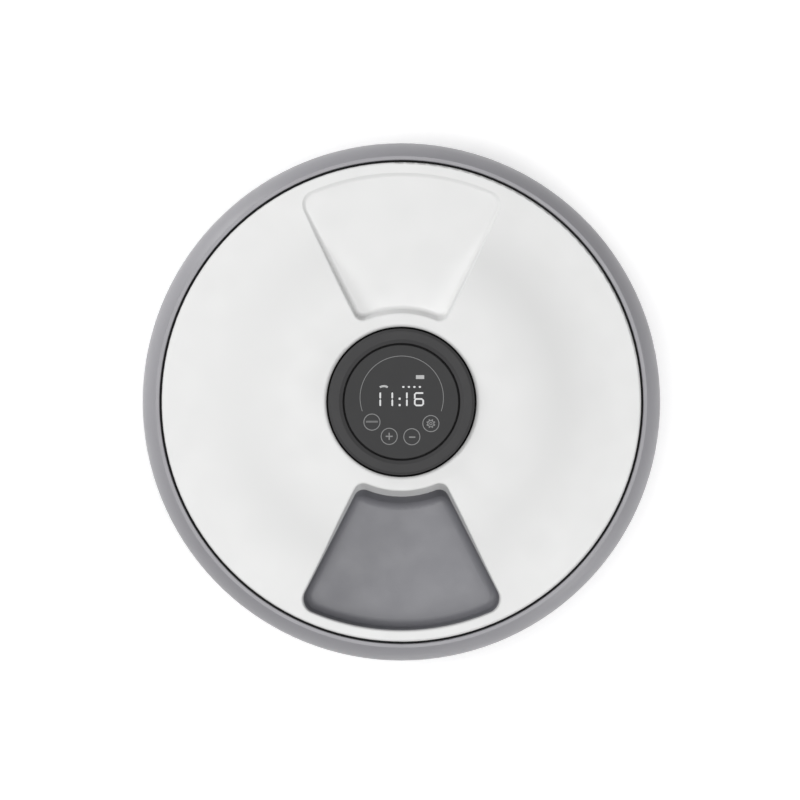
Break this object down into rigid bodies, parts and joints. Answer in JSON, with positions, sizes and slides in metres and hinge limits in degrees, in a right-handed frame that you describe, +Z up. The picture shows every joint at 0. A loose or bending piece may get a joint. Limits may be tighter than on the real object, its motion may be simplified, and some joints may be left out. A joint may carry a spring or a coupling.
{
  "type": "automatic pet feeder",
  "caption": "Round tabletop pet feeder: a motor turns a tray of wedge-shaped wells under a domed lid with one serving opening and a central touch panel.",
  "frame": {"origin": "middle of the footprint, at the floor", "axes": "+Z up, -Y towards the serving opening, +X to the right seen from the front"},
  "size_m": [0.32, 0.32, 0.078],
  "materials": {
    "white_plastic": "satin moulded white",
    "grey_plastic": "satin moulded grey",
    "dark_plastic": "fine satin charcoal",
    "panel_plastic": "smooth dark touch surface with lit signs",
    "gear_plastic": "natural acetal",
    "steel": "plain and plated steel",
    "bronze": "plain bearing bronze and plated strip",
    "rubber": "soft dark rubber",
    "circuit": "green circuit board",
    "component": "black components",
    "cell": "printed foil sleeve"
  },
  "bodies": {
    "housing": {"base_housing": "grey_plastic", "bottom_cover": "grey_plastic", "hub_housing": "dark_plastic", "gearbox_lower_plate": "dark_plastic", "gearbox_upper_plate": "dark_plastic", "display_panel": "panel_plastic", "idler_pin": "steel", "roller_pins": "steel", "battery_springs": "steel", "cover_screws": "steel", "gearbox_screws": "steel", "hub_screws": "steel", "board_screws": "steel", "inlet_screws": "steel", "motor_screws": "steel", "gear_motor": "steel", "power_inlet": "steel", "lower_bush": "bronze", "upper_bush": "bronze", "battery_contacts": "bronze", "lid_seal": "rubber", "foot_1": "rubber", "foot_2": "rubber", "foot_3": "rubber", "foot_4": "rubber", "foot_5": "rubber", "foot_6": "rubber", "main_board": "circuit", "power_board": "circuit", "position_sensor": "circuit", "led_display": "component", "touch_springs": "component", "board_components": "component", "speaker": "component", "battery_cell_1": "cell", "battery_cell_2": "cell", "battery_cell_3": "cell", "battery_cell_4": "cell"},
    "lid": {"lid": "white_plastic"},
    "locking_ring": {"lock_ring": "dark_plastic", "ring_retainer": "dark_plastic", "retainer_screws": "steel"},
    "carousel": {"food_tray": "grey_plastic", "meal_cups": "grey_plastic", "roller_track": "grey_plastic", "turntable": "dark_plastic", "index_magnets": "steel"},
    "output_drive": {"drive_pinion": "gear_plastic", "output_shaft": "steel", "output_gear": "gear_plastic"},
    "idler": {"idler_gear": "gear_plastic"},
    "motor_drive": {"motor_pinion": "gear_plastic", "motor_shaft": "steel"},
    "battery_hatch": {"battery_door": "grey_plastic"},
    "support_roller_1": {"roller_1": "gear_plastic"},
    "support_roller_2": {"roller_2": "gear_plastic"},
    "support_roller_3": {"roller_3": "gear_plastic"},
    "support_roller_4": {"roller_4": "gear_plastic"}
  },
  "joints": [
    {"name": "tray_spin", "type": "hinge", "parent": "housing", "child": "carousel", "pos_m": [0, 0, 0.037], "axis": [0, 0, 1], "continuous": true},
    {"name": "output_spin", "type": "hinge", "parent": "housing", "child": "output_drive", "pos_m": [0, -0.04375, 0.03], "axis": [0, 0, 1], "continuous": true},
    {"name": "idler_spin", "type": "hinge", "parent": "housing", "child": "idler", "pos_m": [0.0084, -0.02127, 0.012], "axis": [0, 0, 1], "continuous": true},
    {"name": "motor_spin", "type": "hinge", "parent": "housing", "child": "motor_drive", "pos_m": [0, -0.004, 0.012], "axis": [0, 0, 1], "continuous": true},
    {"name": "roller_1_spin", "type": "hinge", "parent": "housing", "child": "support_roller_1", "pos_m": [0.08344, 0.08344, 0.025], "axis": [0.7071, 0.7071, 0], "continuous": true},
    {"name": "roller_2_spin", "type": "hinge", "parent": "housing", "child": "support_roller_2", "pos_m": [-0.08344, 0.08344, 0.025], "axis": [-0.7071, 0.7071, 0], "continuous": true},
    {"name": "roller_3_spin", "type": "hinge", "parent": "housing", "child": "support_roller_3", "pos_m": [-0.08344, -0.08344, 0.025], "axis": [-0.7071, -0.7071, 0], "continuous": true},
    {"name": "roller_4_spin", "type": "hinge", "parent": "housing", "child": "support_roller_4", "pos_m": [0.08344, -0.08344, 0.025], "axis": [0.7071, -0.7071, 0], "continuous": true},
    {"name": "lid_lift", "type": "slide", "parent": "housing", "child": "lid", "axis": [0, 0, 1], "range_m": [0, 0.08]},
    {"name": "ring_lock", "type": "hinge", "parent": "lid", "child": "locking_ring", "pos_m": [0, 0, 0.07], "axis": [0, 0, -1], "range_deg": [0, 30]},
    {"name": "hatch_swing", "type": "hinge", "parent": "housing", "child": "battery_hatch", "pos_m": [0, 0.0585, 0.0032], "axis": [-1, 0, 0], "range_deg": [0, 90]}
  ],
  "couplings": [
    {"joint": "output_spin", "follows": "tray_spin", "ratio": 6},
    {"joint": "idler_spin", "follows": "tray_spin", "ratio": -14.571},
    {"joint": "motor_spin", "follows": "tray_spin", "ratio": 43.714},
    {"joint": "roller_1_spin", "follows": "tray_spin", "ratio": -26.222},
    {"joint": "roller_2_spin", "follows": "tray_spin", "ratio": -26.222},
    {"joint": "roller_3_spin", "follows": "tray_spin", "ratio": -26.222},
    {"joint": "roller_4_spin", "follows": "tray_spin", "ratio": -26.222}
  ]
}
